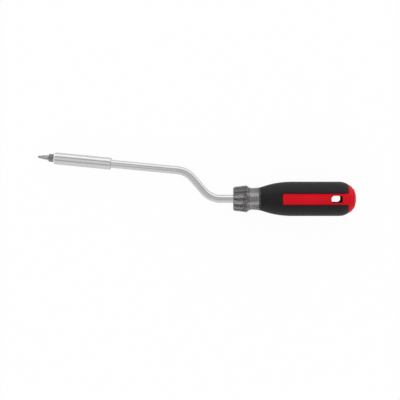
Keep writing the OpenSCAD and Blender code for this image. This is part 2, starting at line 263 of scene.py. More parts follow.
def benchShare(tree):  # plain white of the bench: most of it to the camera, some to gloss and clear plastic
    ray = nodeIn(tree, "ShaderNodeLightPath").outputs
    gloss = calc(tree, "MAXIMUM", ray["Is Glossy Ray"], ray["Is Transmission Ray"])
    toCamera = calc(tree, "MULTIPLY", ray["Is Camera Ray"], studio["floorWhite"])
    return calc(tree, "MAXIMUM", toCamera, calc(tree, "MULTIPLY", gloss, studio["floorShown"]))


def makeFloor():
    s = studio["floorSize"] / 2
    mesh = meshOf("benchTop", [(-s, -s, 0), (s, -s, 0), (s, s, 0), (-s, s, 0)], [(0, 1, 2, 3)])
    floor = bpy.data.objects.new("benchTop", mesh)
    scene.collection.objects.link(floor)
    mat = bpy.data.materials.new("paleBench")
    mat.use_nodes = True
    tree = mat.node_tree
    tree.nodes.clear()
    plain = wired(tree, "ShaderNodeBsdfDiffuse", {"Color": studio["floorColour"]})
    glow = wired(tree, "ShaderNodeEmission", {"Color": (1, 1, 1, 1)})
    mix = wired(tree, "ShaderNodeMixShader", {0: benchShare(tree), 1: plain.outputs[0], 2: glow.outputs[0]})
    wired(tree, "ShaderNodeOutputMaterial", {"Surface": mix.outputs[0]})
    mesh.materials.append(mat)


def makeTent():  # level by angle across the tool: two dark strips beside the top, a bright far side
    world = bpy.data.worlds.new("softTent")
    scene.world = world
    world.use_nodes = True
    tree = world.node_tree
    tree.nodes.clear()
    around = nodeIn(tree, "ShaderNodeTexCoord").outputs["Generated"]
    x, y, z = wired(tree, "ShaderNodeSeparateXYZ", {0: around}).outputs
    angle = calc(tree, "ARCTAN2", y, z)
    stops = [(degrees / 360 + 0.5, (level, level, level)) for degrees, level in studio["tent"]]
    glow = ramped(tree, ranged(tree, angle, -math.pi, math.pi, 0, 1), stops)
    # the camera's slot dims the tent over the handle's end
    along = ranged(tree, x, *studio["slotAlong"], 0, -studio["slotDim"])
    across = ranged(tree, calc(tree, "ABSOLUTE", angle), *studio["slotAcross"], 1, 0)
    level = calc(tree, "MULTIPLY_ADD", along, across, 1.0)
    tent = wired(tree, "ShaderNodeBackground", {"Color": glow, "Strength": level})
    wired(tree, "ShaderNodeOutputWorld", {"Surface": tent.outputs[0]})


def makeLamp():  # lifts the plain colours and leaves the metal its strips
    data = bpy.data.lights.new("overheadLamp", "AREA")
    data.shape = "RECTANGLE"
    data.size, data.size_y = studio["lampSize"]
    data.energy = studio["lampWatts"]
    lamp = bpy.data.objects.new("overheadLamp", data)
    lamp.location = studio["lampPlace"]
    lamp.rotation_euler = Vector(studio["lampPlace"]).to_track_quat("Z", "Y").to_euler()
    lamp.visible_glossy = False
    lamp.visible_transmission = False
    scene.collection.objects.link(lamp)


scene.view_settings.view_transform = "Standard"
makeCamera()
makeFloor()
makeTent()
makeLamp()
print("studio set")


# helpers for the geometry trees
def groupWith(name, values):  # a tree for geometry, with an input for each size and one for the finish
    tree = bpy.data.node_groups.new(name, "GeometryNodeTree")
    face = tree.interface
    face.new_socket("Geometry", in_out="INPUT", socket_type="NodeSocketGeometry")
    for label, value in values.items():
        kind = "NodeSocketInt" if isinstance(value, int) else "NodeSocketFloat"
        face.new_socket(label, in_out="INPUT", socket_type=kind).default_value = value
    face.new_socket("Finish", in_out="INPUT", socket_type="NodeSocketMaterial")
    face.new_socket("Geometry", in_out="OUTPUT", socket_type="NodeSocketGeometry")
    return tree, nodeIn(tree, "NodeGroupInput").outputs


def stored(tree, geometry, label, value):  # writes a value to the points under a name
    return wired(tree, "GeometryNodeStoreNamedAttribute", {
        "Geometry": geometry, "Name": label, "Value": value,
    }, data_type="FLOAT", domain="POINT").outputs["Geometry"]


def captured(tree, geometry, label, value):  # keeps a value with a curve's points
    n = nodeIn(tree, "GeometryNodeCaptureAttribute", domain="POINT")
    n.capture_items.new("FLOAT", label)
    feed(tree, n.inputs["Geometry"], geometry)
    feed(tree, n.inputs[label], value)
    return n.outputs["Geometry"], n.outputs[label]


def endTree(tree, geometry, finish):
    real = wired(tree, "GeometryNodeRealizeInstances", {"Geometry": geometry}).outputs["Geometry"]
    paint = wired(tree, "GeometryNodeSetMaterial", {"Geometry": real, "Material": finish})
    wired(tree, "NodeGroupOutput", {"Geometry": paint.outputs["Geometry"]})
    return tree


def grown(name, mesh, tree, values, material):  # runs a tree on a mesh and gives the plain mesh back
    obj = bpy.data.objects.new(name, mesh)
    scene.collection.objects.link(obj)
    mod = obj.modifiers.new(name, "NODES")
    mod.node_group = tree
    settings = {**values, "Finish": material}
    for item in tree.interface.items_tree:
        if item.in_out == "INPUT" and item.name in settings:
            mod[item.identifier] = settings[item.name]
    bpy.context.view_layer.update()
    out = bpy.data.meshes.new_from_object(obj.evaluated_get(bpy.context.evaluated_depsgraph_get()))
    obj.modifiers.remove(mod)
    bpy.data.objects.remove(obj)
    return out


# shank: a rod swept along a path with two bends
shank = dict(diameter=7.6, sides=64, bend=21.0, bendSteps=28, cuts=2, sharp=38,
             rearLeg=21.2, slantLeg=34.7, frontLeg=125.5, crank=49.0, nose=5.55, tang=72.0, socketEnd=-49.2,
             colour=(0.60, 0.60, 0.605), colourLight=(0.67, 0.67, 0.675), clouds=(60, 4, 0.25, 0.7),
             drawn=(0.02, 26.0), grain=(1.0, 5), dents=(1.0, 5, 0.12, 0.00006), rough=(0.07, 0.15),
             plain={"Metallic": 1.0})


def sweepTree(values):
    tree, size = groupWith("bentRod", values)
    path = wired(tree, "GeometryNodeMeshToCurve", {"Mesh": size["Geometry"]}).outputs["Curve"]
    bent = wired(tree, "GeometryNodeFilletCurve", {
        "Curve": path, "Radius": size["Bend Radius"], "Count": size["Bend Steps"],
    }, mode="POLY").outputs["Curve"]
    fine = wired(tree, "GeometryNodeSubdivideCurve", {"Curve": bent, "Cuts": shank["cuts"]}).outputs["Curve"]
    radius = calc(tree, "MULTIPLY", size["Rod Diameter"], 0.5)
    circle = wired(tree, "GeometryNodeCurvePrimitiveCircle", {"Radius": radius, "Resolution": size["Sides"]})
    length = nodeIn(tree, "GeometryNodeSplineParameter").outputs["Length"]
    share = nodeIn(tree, "GeometryNodeSplineParameter").outputs["Factor"]
    line, along = captured(tree, fine, "Run", length)
    ring, around = captured(tree, circle.outputs["Curve"], "Turn", share)
    rod = wired(tree, "GeometryNodeCurveToMesh", {"Curve": line, "Profile Curve": ring, "Fill Caps": True})
    ruled = stored(tree, rod.outputs["Mesh"], "along", along)
    return endTree(tree, stored(tree, ruled, "around", around), size["Finish"])


def forward(degrees):  # towards the bit in the handle's plane, turned by an angle
    a = math.radians(degrees)
    return Vector((-math.cos(a), math.sin(a), 0))


def makeShank():
    s = shank
    lower = Vector((-s["rearLeg"], 0, 0))
    upper = lower + forward(s["crank"]) * s["slantLeg"]
    end = upper + forward(s["nose"]) * (s["frontLeg"] + s["socketEnd"])
    path = [(s["tang"], 0, 0), lower, upper, end]
    mesh = meshOf("shankPath", [tuple(p) for p in path], [], [(0, 1), (1, 2), (2, 3)])
    finish = finishOf("platedShank", s)
    values = {"Rod Diameter": s["diameter"], "Sides": s["sides"], "Bend Radius": s["bend"],
              "Bend Steps": s["bendSteps"]}
    rod = grown("shankSweep", mesh, sweepTree(values), values, finish)
    finished("crankedShank", rod, handlePlace, [finish], "handle", "shank", s["sharp"])


makeShank()


# sleeve: a turned tube with softened rims
sleeve = dict(front=-1.3, rear=-53.95, outer=5.63, bore=4.654, counter=5.104, step=-46.9, rim=0.25,
              sides=128, rimSteps=6, rimRoom=1.0, barrelSteps=24, sharp=38,
              colour=(0.61, 0.61, 0.615), colourLight=(0.68, 0.68, 0.685), clouds=(60, 4, 0.25, 0.7),
              drawn=(0.03, 30.0), grain=(1.0, 5), dents=(1.0, 5, 0.12, 0.00006), rough=(0.07, 0.15),
              plain={"Metallic": 1.0})


def makeSleeve():
    s = sleeve
    front, rear, outer, rim = s["front"], s["rear"], s["outer"], s["rim"]
    quarter = spread(0, math.pi / 2, s["rimSteps"])
    profile = [(front, s["bore"]), (front, outer - rim)]
    profile += [(front - rim * (1 - math.cos(a)), outer - rim + rim * math.sin(a)) for a in quarter[1:]]
    profile += [(x, outer) for x in spread(front - s["rimRoom"], rear + s["rimRoom"], s["barrelSteps"])]
    profile += [(rear + rim * (1 - math.sin(a)), outer - rim + rim * math.cos(a)) for a in quarter]
    profile += [(rear, s["counter"]), (s["step"], s["counter"]), (s["step"], s["bore"])]
    mesh = tidied(spun("sleeveTube", profile, s["sides"]))
    keepValues(mesh, "along", [v.co.x for v in mesh.vertices])
    keepValues(mesh, "around", [abs(math.atan2(v.co.z, v.co.y)) / math.pi for v in mesh.vertices])
    finishes = [finishOf("platedSleeve", s)]
    finished("spinningSleeve", mesh, nosePlace, finishes, "sleeve", "spinning_sleeve",
             s["sharp"])


makeSleeve()


# handle core: a turned bolster and neck whose flutes are worked in by a rule, and a hexagonal tang
core = dict(neck=10.3, lip=2.4, rise=1.2, round=2.2, crestAt=12.0, crestRound=1.6, footRound=5.5,
            neckRound=44.0, backSlope=45.0, faceRings=(6.5, 7.6), mouthSteps=6, roundSteps=16, flankSteps=16,
            crestSteps=14, slopeSteps=5, footSteps=12, neckSteps=14,
            fluteCount=12, fluteDepth=0.9, fluteRadius=2.4, softEdge=0.3, columns=288, sharp=50,
            bore=3.92, boreSkin=0.02, mouth=0.45, gripStart=24.8, seam=25.4, rimGap=0.06, gripLip=1.3,
            clearEnd=36.0, tangEnd=105.6,
            # tint per point: the neck's own smoke tint, the lands painted lighter as highlight, the flute
            # floors and the crest painted darker as shade
            neckTone=0.5, landTone=0.25, floorTone=1.0, crestTone=0.8, landDepth=(0.02, 0.12),
            floorDepth=(0.03, 0.48), landEnd=(-3.0, -1.0), crestFrom=(-3.0, -0.5), crestTo=(1.5, 3.0),
            tones=[(0.06, (0.95, 0.94, 0.94)), (0.25, (0.54, 0.522, 0.517)), (0.5, (0.365, 0.354, 0.351)),
                   (0.95, (0.07, 0.066, 0.065))],
            clouds=(140, 4), cloudTone=0.05, grain=(500, 5), dents=(260, 2, 0.08, 0.0002), rough=(0.01, 0.05),
            plain={"IOR": 1.585, "Transmission Weight": 1.0})
crestRadius = core["neck"] + core["lip"]
flankRise = core["rise"] / (core["crestAt"] - core["round"])


def backOfBolster():  # crest, slope, foot and the long hollow of the neck
    c = core
    slope = math.radians(c["backSlope"])
    flank = math.degrees(math.atan(flankRise))
    crest = [(c["crestAt"], crestRadius)]
    crest += arcFrom(crest[0], c["crestRound"], flank, -c["backSlope"], c["crestSteps"])
    drop = crest[-1][1] - c["neck"] - c["footRound"] * (1 - math.cos(slope))
    foot = [(crest[-1][0] + drop / math.tan(slope), crest[-1][1] - drop)]
    foot += arcFrom(foot[0], c["footRound"], -c["backSlope"], 0, c["footSteps"])
    toSeam, toGrip = [math.asin((c[key] - foot[-1][0]) / c["neckRound"]) for key in ("seam", "gripStart")]
    neck = arcFrom(foot[-1], c["neckRound"], 0, math.degrees(toSeam), c["neckSteps"])
    return crest, foot, neck, foot[-1][1] + c["neckRound"] * (1 - math.cos(toGrip))


crestLine, footLine, neckLine, neckEndRadius = backOfBolster()
tangRadius = neckEndRadius - core["gripLip"]  # at the corners of the hexagon
print("neck ends at radius", round(neckEndRadius, 3), "tang corners", round(tangRadius, 3))


def fluteTree(values):
    tree, size = groupWith("bolsterFlutes", values)

    def do(operation, *inputs):
        return calc(tree, operation, *inputs)

    at = nodeIn(tree, "GeometryNodeInputPosition").outputs[0]
    x, y, z = wired(tree, "ShaderNodeSeparateXYZ", {0: at}).outputs
    radius, depth = size["Flute Radius"], size["Flute Depth"]
    out = do("SQRT", do("ADD", do("MULTIPLY", y, y), do("MULTIPLY", z, z)))
    halfCell = do("MULTIPLY", do("DIVIDE", 2 * math.pi, size["Flute Count"]), 0.5)
    turn = do("WRAP", do("ARCTAN2", y, z), halfCell, do("MULTIPLY", halfCell, -1.0))
    rise = do("MULTIPLY", do("SUBTRACT", x, size["Crest Station"]), size["Flank Rise"])
    axle = do("ADD", do("SUBTRACT", do("ADD", size["Crest Radius"], radius), depth), rise)
    # the near wall of a round bar that lies at the axle's distance
    side = do("MULTIPLY", axle, do("SINE", turn))
    room = do("SUBTRACT", do("MULTIPLY", radius, radius), do("MULTIPLY", side, side))
    hollow = do("SUBTRACT", do("MULTIPLY", axle, do("COSINE", turn)), do("SQRT", do("MAXIMUM", room, 0.0)))
    cut = do("SMOOTH_MIN", out, hollow, size["Soft Edge"])
    share = do("DIVIDE", cut, do("MAXIMUM", out, hair))
    moved = wired(tree, "ShaderNodeCombineXYZ", {
        "X": x, "Y": do("MULTIPLY", y, share), "Z": do("MULTIPLY", z, share)})
    deep = do("DIVIDE", do("SUBTRACT", out, cut), depth)
    kept = stored(tree, size["Geometry"], "fluteDepth", deep)
    shaped = wired(tree, "GeometryNodeSetPosition", {"Geometry": kept, "Position": moved.outputs[0]})
    return endTree(tree, shaped.outputs["Geometry"], size["Finish"])


def smokeTintAndShade(tree, c):  # by the tint and painted shade on each point, a little clouded
    cloud = noiseAt(tree, objectSpace(tree), *c["clouds"])
    shift = ranged(tree, cloud, noiseLow, noiseHigh, -c["cloudTone"], c["cloudTone"])
    return ramped(tree, calc(tree, "ADD", attributeIn(tree, "tintAndShade"), shift), c["tones"])


def tintAndShadeAt(p, depth):  # clear in the bore; the lands painted lighter as highlight, the crest and the flute floors painted darker as shade
    c = core
    if math.hypot(p.y, p.z) < c["bore"] + c["boreSkin"]:
        return 0.0
    # depth is a share of the flute's, behind is in millimetres
    behind = p.x - c["crestAt"]
    landHighlight = (1 - eased(depth, *c["landDepth"])) * (1 - eased(behind, *c["landEnd"]))
    crest = eased(behind, *c["crestFrom"]) * (1 - eased(behind, *c["crestTo"]))
    tintAndShade = c["neckTone"] + (c["landTone"] - c["neckTone"]) * landHighlight
    tintAndShade += (c["floorTone"] - c["neckTone"]) * eased(depth, *c["floorDepth"])
    return tintAndShade + max(0.0, c["crestTone"] - tintAndShade) * crest


# shells on a grid that runs round the handle: rows along it, columns by plan width
cornerHold = 0.6  # lines this far out run beside a corner's arc, and fade to square beyond


def marked(values, part):
    return [(v, part) for v in values]


def aroundCols(half):  # [y, part] columns of one side to a full turn: top from +y to -y, then back underneath
    ys = [(-y, part) for y, part in reversed(half[1:])] + half
    return [(1, *c) for c in reversed(ys)] + [(-1, *c) for c in ys[1:-1]]


def gridQuad(i, j, n):
    k = (j + 1) % n
    return [i * n + j, i * n + k, (i + 1) * n + k, (i + 1) * n + j]


def edgesOf(quad):
    return zip(quad, quad[1:] + quad[:1])


def cornerArc(u, v, r):  # a point on a square corner, moved to the arc of radius r that rounds it
    e, t = max(u, v), abs(u - v)
    a = math.radians(45) * ((1 - t / r) if u >= v else (1 + t / r))
    return e - r + r * math.cos(a), e - r + r * math.sin(a)


def roundCorner(x, y, cx, cy, sx, sy, radius, fade):  # bends a grid's square corner and the lines near it
    u, v = sx * (x - cx), sy * (abs(y) - cy)
    e = max(u, v)
    r = (radius + min(e, cornerHold)) * (1 - eased(e, cornerHold, fade))
    if r <= hair or abs(u - v) >= r:
        return x, y
    u, v = cornerArc(u, v, r)
    return cx + sx * u, math.copysign(cy + sy * v, y)


def shellMesh(name, rows, cols, outerAt, innerAt, isOpen, rearPole):  # two skins, joined round every opening
    n = len(cols)
    verts = [skin(r, c) for skin in (outerAt, innerAt) for r in rows for c in cols]
    base, lastRow = len(rows) * n, (len(rows) - 1) * n
    faces, rim = [], {}
    for i in range(len(rows) - 1):
        for j in range(n):
            if isOpen(rows[i], rows[i + 1], cols[j], cols[(j + 1) % n]):
                continue
            quad = gridQuad(i, j, n)
            faces.append(quad)
            faces.append([base + k for k in reversed(quad)])
            for a, b in edgesOf(quad):
                key = (min(a, b), max(a, b))
                rim[key] = None if key in rim else (a, b)
    for edge in rim.values():
        if edge and not (rearPole and min(edge) >= lastRow):
            faces.append([edge[1], edge[0], base + edge[0], base + edge[1]])
    if rearPole:
        for skinStart in (0, base):
            ring = [skinStart + lastRow + j for j in range(n)]
            verts.append(tuple(sum(verts[k][axis] for k in ring) / n for axis in range(3)))
            faces += [[ring[j], ring[(j + 1) % n], len(verts) - 1] for j in range(n)]
    return tidied(meshOf(name, verts, faces))


def hexPoint(side, y, corner, widest):  # a column's point on a hexagon with flats up and down
    flat = corner / 2
    height = corner * math.cos(math.radians(30))
    if abs(y) <= flat:
        return y, side * height
    t = (abs(y) - flat) / (widest - flat)
    return math.copysign(flat + t * flat, y), side * height * (1 - t)


# lanyard hole, through the tang and the body
hole = dict(at=96.9, half=5.2, halfWidth=3.3, corner=2.8, cornerSteps=9, bodyFade=2.0, tangFade=1.0,
            lip=0.6, lipSteps=(0.02, 0.07, 0.16, 0.28), before=(2, 1.3, 0.8), after=(1.0, 1.8), beside=0.15,
            cols=[0, 0.8, 1.2, 1.7, 2.2, 2.7, 3.05], margin=0.01)
holeFront, holeRear = hole["at"] - hole["half"], hole["at"] + hole["half"]


def holeRows():  # close together at the round corners
    w, n = hole["halfWidth"], hole["cornerSteps"]
    return spread(holeFront, holeFront + w, n) + [hole["at"]] + spread(holeRear - w, holeRear, n)


def inHole(x0, x1, y0, y1):
    inside = x0 >= holeFront - hair and x1 <= holeRear + hair
    return inside and max(abs(y0), abs(y1)) <= hole["halfWidth"] + hair


def holeCorner(x, y, fade):  # rounds the hole's corners in a grid, and the lines round it as far as fade
    h = hole
    u, v = abs(x - h["at"]) - h["half"], abs(y) - h["halfWidth"]
    e = max(u, v)
    r = h["corner"] * (1 - max(0.0, e) / fade)
    if e < -hair or r <= 0 or abs(u - v) >= r:
        return x, y
    u, v = cornerArc(u, v, r)
    return h["at"] + math.copysign(u + h["half"], x - h["at"]), math.copysign(v + h["halfWidth"], y)


# tang: the thick middle of the core, which lets no light through; its dark finish has a red cast painted in
# as shade, and it also lines the body's red wall in the hole as painted shade
tang = dict(gap=0.1, middle=60.0, before=(4, 1), after=1.3, beside=4.1, fan=(0.5, 0.75, 1.0),
            # near-black smoke with a red cast: the red cast is painted shade, the look of the red wall in
            # shadow
            colour=(0.036, 0.009, 0.009), colourLight=(0.050, 0.012, 0.012), clouds=(140, 4, 0.3, 0.7),
            grain=(500, 5), rough=(0.6, 0.75), plain={"Specular IOR Level": 0.04})


def tangMesh():
    h, w = hole, hole["halfWidth"]
    rows = [core["clearEnd"] + tang["gap"], tang["middle"]] + [holeFront - d for d in tang["before"]]
    rows += holeRows() + [holeRear + tang["after"], core["tangEnd"]]
    half = h["cols"] + [w, tang["beside"]] + [tangRadius * f for f in tang["fan"]]
    cols = aroundCols(marked(half, "tang"))
    n = len(cols)
    verts, faces = [], []
    for x in rows:
        for side, y, part in cols:
            xx, yy = holeCorner(x, y, h["tangFade"])
            verts.append((xx, *hexPoint(side, yy, tangRadius, tangRadius)))

    def onSides(p):  # which of the hole's four sides a point of the grid lies on
        x, y = rows[p // n], cols[p % n][1]
        return [abs(d) < hair for d in (x - holeFront, x - holeRear, y - w, y + w)]

    def underneath(p):
        return p // n * n + (n - p % n) % n

    for i in range(len(rows) - 1):
        for j in range(n):
            quad, k = gridQuad(i, j, n), (j + 1) % n
            if not inHole(rows[i], rows[i + 1], cols[j][1], cols[k][1]):
                faces.append(quad)
            elif cols[j][0] > 0 and cols[k][0] > 0:  # the hole's wall, from a top edge to the one underneath
                for a, b in edgesOf(quad):
                    if any(p and q for p, q in zip(onSides(a), onSides(b))):
                        faces.append([a, b, underneath(b), underneath(a)])
    faces.append(list(range(n)))
    faces.append([(len(rows) - 1) * n + j for j in reversed(range(n))])
    return tidied(meshOf("tangShell", verts, faces))


def makeCore():
    c = core
    bore, mouth, crestAt = c["bore"], c["mouth"], c["crestAt"]
    faceRadius = crestRadius - c["rise"] - c["round"]
    quarter = spread(0, math.pi / 2, c["mouthSteps"])
    profile = [(mouth * (1 - math.sin(a)), bore + mouth * (1 - math.cos(a))) for a in quarter]
    profile += [(0, r) for r in (*c["faceRings"], faceRadius)]
    profile += arcFrom((0, faceRadius), c["round"], 90, 0, c["roundSteps"])
    flank = spread(c["round"], crestAt, c["flankSteps"])[1:-1]
    profile += [(x, crestRadius - (crestAt - x) * flankRise) for x in flank]
    ends = zip(crestLine[-1], footLine[0])
    slope = list(zip(*[spread(a, b, c["slopeSteps"])[1:-1] for a, b in ends]))
    profile += crestLine + slope + footLine + neckLine
    profile += [(c["seam"], tangRadius), (c["clearEnd"], tangRadius), (c["clearEnd"], bore)]
    finish = finishOf("smokePlastic", c, smokeTintAndShade)
    values = {"Flute Count": c["fluteCount"], "Flute Depth": c["fluteDepth"],
              "Flute Radius": c["fluteRadius"], "Crest Radius": crestRadius, "Crest Station": crestAt,
              "Flank Rise": flankRise, "Soft Edge": c["softEdge"]}
    turned = spun("bolsterTurned", profile, c["columns"])
    mesh = tidied(grown("flutedBolster", turned, fluteTree(values), values, finish))
    depths = [d.value for d in mesh.attributes["fluteDepth"].data]
    # each point's tint, with painted highlight on the lands and painted shade on the crest and in the flutes
    keepValues(mesh, "tintAndShade", [tintAndShadeAt(v.co, d) for v, d in zip(mesh.vertices, depths)])
    count = len(mesh.polygons)
    bm = bmesh.new()
    bm.from_mesh(mesh)
    bm.from_mesh(tangMesh())
    bm.to_mesh(mesh)
    bm.free()
    mesh.polygons.foreach_set("material_index", [int(k >= count) for k in range(len(mesh.polygons))])
    finishes = [finish, finishOf("darkTangAndHoleShade", tang)]
    finished("smokeCore", mesh, handlePlace, finishes, "handle", "handle_core", c["sharp"])


# soft grip round a red body, which comes through it as a panel above and below and as the butt
grip = dict(full=55.5, radius=16.19, leadIn=0.6, leadPower=8, end=108.1, endLength=8.2, edge=0.3, sharp=60,
            thick=2.4, thickAtSeam=1.2, thickOver=10.0, lip=0.5,
            window=46.1, windowHalf=5.55, windowRound=1.5, windowFade=5.0, rearRound=0.9, rearFade=3.0,
            seamSteps=(0, 0.01, 0.05, 0.12, 0.2, 0.3), seamRoom=0.8, frontSteps=28, windowRoom=2.6,
            beforeWindow=(1.8, 1.2, 0.8, 0.5, 0.46, 0.4, 0.3, 0.18, 0.07, 0.02),
            pastWindow=(0, 0.15, 0.35, 0.6, 0.85, 1.1, 1.3, 1.5, 1.9, 2.6, 3.4, 4.4, 5.9, 7.4, 9.4),
            fullRoom=3.0, fullSteps=20, turnRoom=1.6, turnSteps=14, endRoom=1.3,  # rows close up at edges
            endSteps=(1.0, 0.75, 0.55, 0.4, 0.3, 0.24, 0.16, 0.08, 0.03, 0),
            windowCols=[0, 0.8, 1.6, 2.4, 3.1, 3.7], insideCols=(1.5, 1.25, 1.0, 0.75, 0.5, 0.3, 0.13, 0),
            outsideCols=(0.02, 0.07, 0.18, 0.3, 0.4, 0.5, 0.7, 1.05, 1.5, 2.0), sideFrom=31, sideSteps=18,
            straightFrom=(38.0, 44.0), straightPast=(0.1, 2.9), straightHalf=(7.0, 10.0),
            colour=(0.0028, 0.0030, 0.0030), colourLight=(0.0055, 0.0058, 0.0058), clouds=(90, 5, 0.35, 0.68),
            grain=(420, 4), dents=(2600, 2, 0.25, 0.0001), rough=(0.44, 0.58),
            plain={"Specular IOR Level": 0.27})
body = dict(start=36.0, radius=15.19, flat=4.0, endRadius=20.0, endHalf=9.6, groove=0.8, edge=0.7, sharp=60,
            gap=0.04, underGap=0.05, boreGap=0.02, closing=0.97,
            underSteps=4, underRoom=0.3, underCols=(0, 0.5, 1.2, 2.0),
            frontSteps=(0, 0.02, 0.07, 0.17, 0.35, 0.6, 0.85, 1.15, 1.45, 1.9, 2.8), frontRoom=4.4,
            panelSteps=16, holeRoom=3, fieldSteps=3, edgeRoom=0.85,
            rearSteps=(3.2, 2.2, 1.5, 1.05, 0.7, 0.45, 0.28, 0.15, 0),
            edgeSteps=(0, 0.015, 0.06, 0.16, 0.3, 0.48),
            flankSteps=14, grooveSteps=10, rimSteps=2, capSteps=12, flatRings=(0.75, 0.5, 0.25),
            colour=(0.58, 0.0032, 0.0115), colourLight=(0.66, 0.0040, 0.0140), clouds=(45, 4, 0.25, 0.6),
            grain=(700, 4), dents=(1900, 2, 0.1, 0.00006), rough=(0.3, 0.42),
            plain={"Specular IOR Level": 0.1})
endAt = handleLength - math.sqrt(body["endRadius"] ** 2 - body["flat"] ** 2)
edgeAt = endAt + math.sqrt(body["endRadius"] ** 2 - body["endHalf"] ** 2)
domeAt = edgeAt - math.sqrt(body["radius"] ** 2 - body["endHalf"] ** 2)
gripTurn = grip["end"] - grip["endLength"]
gripEdgeRadius = math.sqrt(body["radius"] ** 2 - (grip["end"] - domeAt) ** 2)
gripDrop = grip["radius"] - gripEdgeRadius
gripEndRound = (grip["endLength"] ** 2 + gripDrop ** 2) / (2 * gripDrop)
sideTurns = spread(grip["sideFrom"], 90, grip["sideSteps"])
sideCols = [grip["radius"] * math.sin(math.radians(a)) for a in sideTurns]


def gripRadius(x):
    start, full, radius = core["gripStart"], grip["full"], grip["radius"]
    if x < full:
        t = max(0.0, (x - start) / (full - start))
        lift = t * (2 - t) * (1 - grip["leadIn"] * (1 - t) ** grip["leadPower"])
        return neckEndRadius + (radius - neckEndRadius) * lift
    past = max(0.0, min(x, grip["end"]) - gripTurn)
    return radius - gripEndRound + math.sqrt(max(0.0, gripEndRound ** 2 - past ** 2))


def redRadius(x):
    return math.sqrt(max(0.0, body["radius"] ** 2 - max(0.0, x - domeAt) ** 2))


def buttLine(x0):  # [along, radius] points from x0 over the flank, the groove and the shallow end to the flat
    b, r, g = body, body["radius"], body["groove"]

    def onDome(a):
        return domeAt + r * math.sin(a), r * math.cos(a)

    ring = math.acos((b["endHalf"] + g) / r)
    wide = 2 * math.asin(g / (2 * r))
    flank = [onDome(a) for a in spread(math.asin((x0 - domeAt) / r), ring - wide, b["flankSteps"])]
    x, y = onDome(ring)
    lean = math.atan2(flank[-1][1] - y, flank[-1][0] - x)
    turns = [lean + a for a in spread(0, math.pi - wide, b["grooveSteps"])[1:]]
    hollow = [(x + g * math.cos(a), y + g * math.sin(a)) for a in turns]
    rim = [onDome(a) for a in spread(ring + wide, math.acos(b["endHalf"] / r), b["rimSteps"])[1:]]
    capRadii = spread(b["endHalf"], b["flat"], b["capSteps"])[1:]
    cap = [(endAt + math.sqrt(b["endRadius"] ** 2 - q * q), q) for q in capRadii]
    return flank[1:] + hollow + rim + cap + [(handleLength, b["flat"] * f) for f in b["flatRings"]]


def roundPoint(x, side, y, radius):  # columns keep their width beside the panels and fan out elsewhere
    g = grip
    keep = eased(x, *g["straightFrom"]) * (1 - eased(x - g["end"], *g["straightPast"]))
    keep *= 1 - eased(abs(y), *g["straightHalf"])
    fan = radius * y / g["radius"]
    yy = fan + (y - fan) * keep
    return x, yy, side * math.sqrt(max(0.0, radius * radius - yy * yy))


def panelCorners(x, y):  # the outline that the grip leaves open for the panel
    g = grip
    x, y = roundCorner(x, y, g["window"], g["windowHalf"], -1, 1, g["windowRound"], g["windowFade"])
    return roundCorner(x, y, g["end"], g["windowHalf"], 1, -1, g["rearRound"], g["rearFade"])


def makeBody():
    b, h = body, hole
    w, half = grip["window"] + b["gap"], grip["windowHalf"] - b["gap"]
    rear = grip["end"] + b["gap"]
    under = spread(b["start"], w - b["underRoom"], b["underSteps"]) + [w]
    panel = [w + d for d in b["frontSteps"]]
    panel += spread(w + b["frontRoom"], holeFront - b["holeRoom"], b["panelSteps"])
    panel += [holeFront - d for d in (*h["before"], h["lip"], *reversed(h["lipSteps"]))]
    panel += holeRows() + [holeRear + d for d in (*h["lipSteps"], h["lip"], *h["after"])]
    panel += [rear - d for d in b["rearSteps"]]
    edge = (*b["edgeSteps"], b["edge"])
    rows = [(x, None, "under") for x in under] + [(x, None, "panel") for x in panel]
    rows += [(rear + d, None, "butt") for d in edge]
    rows += [(x, r, "butt") for x, r in buttLine(rear + b["edge"])]
    past = [row for row in rows if row[0] > core["tangEnd"]]
    inward = {row: 1 - b["closing"] * (k + 1) / len(past) for k, row in enumerate(past)}
    panelCols = h["cols"] + [h["halfWidth"] + d for d in (0, *h["lipSteps"], h["lip"])]
    panelCols += spread(h["halfWidth"] + h["lip"] + h["beside"], half - b["edgeRoom"], b["fieldSteps"])
    panelCols += [half - d for d in reversed(edge)]
    underCols = [half + d for d in b["underCols"]] + sideCols
    cols = aroundCols(marked(panelCols, "panel") + marked(underCols, "under"))

    def bent(x, y):
        return holeCorner(*panelCorners(x, y), h["bodyFade"])

    def outerAt(row, col):
        (x, radius, kind), (side, y, part) = row, col
        xx, yy = bent(x, y)
        if kind == "butt" or (kind == "panel" and part == "panel"):
            d = max(min(x - w, half - abs(y)), x - rear)
            u = max(abs(x - h["at"]) - h["half"], abs(y) - h["halfWidth"])
            drop = max(rolled(b["edge"], max(0.0, d)), rolled(h["lip"], max(0.0, u)))
            return roundPoint(xx, side, yy, (radius or redRadius(xx)) - drop)
        return roundPoint(xx, side, yy, gripRadius(xx) - grip["thick"] - b["underGap"])

    def innerAt(row, col):
        xx, yy = bent(row[0], col[1])
        yy, zz = hexPoint(col[0], yy, tangRadius + b["boreGap"], grip["radius"])
        s = inward.get(row, 1.0)
        return min(xx, core["tangEnd"] + b["boreGap"]), yy * s, zz * s

    def isOpen(r0, r1, c0, c1):
        return inHole(r0[0], r1[0], c0[1], c1[1])

    def inHoleShade(p):
        nearX = abs(p.x - h["at"]) < h["half"] + h["margin"]
        return nearX and abs(p.y) < h["halfWidth"] + h["margin"]

    mesh = shellMesh("bodyShell", rows, cols, outerAt, innerAt, isOpen, True)
    # the body's red wall in the hole gets the dark tang finish: painted shade
    mesh.polygons.foreach_set("material_index", [int(inHoleShade(p.center)) for p in mesh.polygons])
    finishes = [finishOf("redMoulding", b), finishOf("darkTangAndHoleShade", tang)]
    finished("redBody", mesh, handlePlace, finishes, "handle", "handle_body", b["sharp"])


